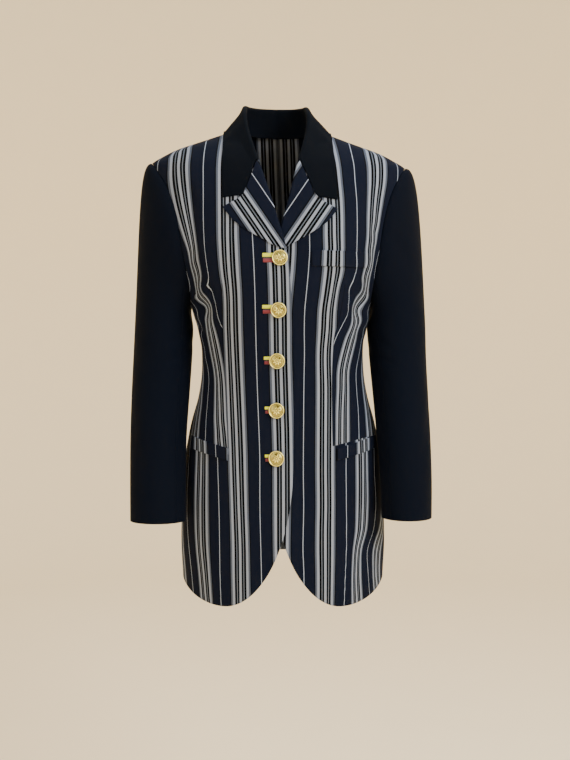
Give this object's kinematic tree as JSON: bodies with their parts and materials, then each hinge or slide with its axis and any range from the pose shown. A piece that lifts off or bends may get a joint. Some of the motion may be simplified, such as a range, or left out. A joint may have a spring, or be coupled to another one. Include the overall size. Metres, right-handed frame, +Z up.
{
  "type": "long tailored blazer",
  "caption": "Long fitted blazer with a turned-down collar, short rounded lapels, plain sleeves, striped body, rounded front hem and metal buttons, standing open as when worn.",
  "frame": {"origin": "middle of the neck hole, level with the tops of the shoulder seams, where the wearer's neck and shoulders hold the coat", "axes": "+Z up along the coat's length, -Y out of its front, +X towards the wearer's left"},
  "size_m": [0.4985, 0.2621, 0.8299],
  "materials": {
    "striped_cloth": "woven wool with grey and white stripes on navy, matt",
    "plain_cloth": "woven wool, very dark navy, matt",
    "gold_button": "pale gold plate, satin"
  },
  "bodies": {
    "root": {"back_left": "striped_cloth", "back_right": "striped_cloth", "button_1": "gold_button", "button_2": "gold_button", "button_3": "gold_button", "button_4": "gold_button", "button_5": "gold_button", "chest_welt": "striped_cloth", "collar": "plain_cloth", "front_left": "striped_cloth", "front_right": "striped_cloth", "hip_welt_left": "striped_cloth", "hip_welt_right": "striped_cloth", "lapel_left": "striped_cloth", "lapel_right": "striped_cloth", "under_sleeve_left": "plain_cloth", "under_sleeve_right": "plain_cloth", "upper_sleeve_left": "plain_cloth", "upper_sleeve_right": "plain_cloth"}
  },
  "joints": []
}
